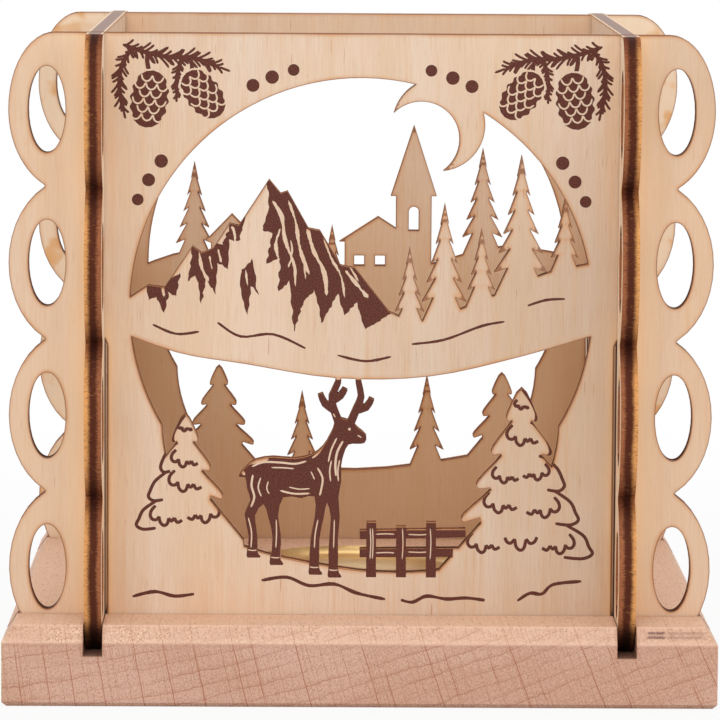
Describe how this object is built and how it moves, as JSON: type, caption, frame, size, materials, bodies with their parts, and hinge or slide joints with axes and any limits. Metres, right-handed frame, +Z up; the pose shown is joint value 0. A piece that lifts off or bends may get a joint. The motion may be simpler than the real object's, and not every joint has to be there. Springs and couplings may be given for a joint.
{
  "type": "tealight lantern",
  "caption": "Square plug-together tealight lantern: scalloped plywood panels with pierced winter scenes, half-lapped at the corners and standing in a grooved beech board.",
  "frame": {"origin": "middle of the board's underside", "axes": "+Z up, front picture panel towards -Y, +X to the right of someone facing it"},
  "size_m": [0.126, 0.126, 0.1179],
  "materials": {
    "beech": "sanded, untreated",
    "birch_ply": "sanded birch plywood with toasted cut edges",
    "brass": "satin",
    "brass_nail": "satin"
  },
  "bodies": {
    "board": {"base_board": "beech", "tealight_dish": "brass", "dish_nail": "brass_nail"},
    "side_walls": {"left_panel": "birch_ply", "right_panel": "birch_ply"},
    "front_wall": {"front_panel": "birch_ply"},
    "back_wall": {"back_panel": "birch_ply"}
  },
  "joints": [
    {"name": "frame_lift", "type": "slide", "parent": "board", "child": "side_walls", "axis": [0, 0, 1], "range_m": [0, 0.0052]},
    {"name": "front_lift", "type": "slide", "parent": "side_walls", "child": "front_wall", "axis": [0, 0, 1], "range_m": [0, 0.0544]},
    {"name": "back_lift", "type": "slide", "parent": "side_walls", "child": "back_wall", "axis": [0, 0, 1], "range_m": [0, 0.0544]}
  ]
}
